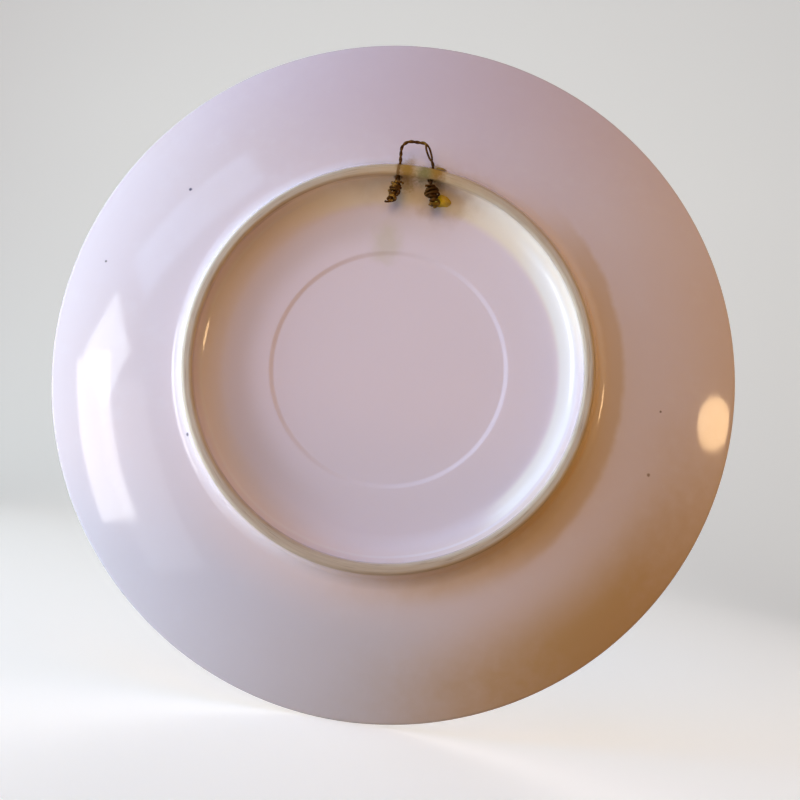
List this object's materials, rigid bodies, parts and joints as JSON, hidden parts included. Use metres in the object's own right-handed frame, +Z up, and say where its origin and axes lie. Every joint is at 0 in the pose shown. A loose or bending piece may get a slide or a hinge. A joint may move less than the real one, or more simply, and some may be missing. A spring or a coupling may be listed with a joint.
{
  "type": "souvenir wall plate",
  "caption": "Round glazed coupe plate with a foot ring pierced for a bent wire loop, so that it hangs on a wall with its decorated front outward.",
  "frame": {"origin": "where a nail carries the wire loop: the underside of the loop's top, above the middle of the plate", "axes": "+Z up as the plate hangs, +Y from the wall towards the plate's front, +X to the right seen from the back"},
  "size_m": [0.25, 0.027, 0.25],
  "materials": {
    "glaze": "glossy off-white glaze, bare and soiled on the foot's contact face",
    "old_brass": "dark tarnished twisted wire with green spots",
    "dried_glue": "yellowed clear glue"
  },
  "bodies": {
    "plate_body": {"plate": "glaze", "glue_pool": "dried_glue", "glue_dab": "dried_glue"},
    "hanger": {"hanger_wire": "old_brass"}
  },
  "joints": [
    {"name": "hanger_swing", "type": "hinge", "parent": "plate_body", "child": "hanger", "pos_m": [0, 0, -0.0103], "axis": [1, 0, 0], "range_deg": [-10, 10]}
  ]
}
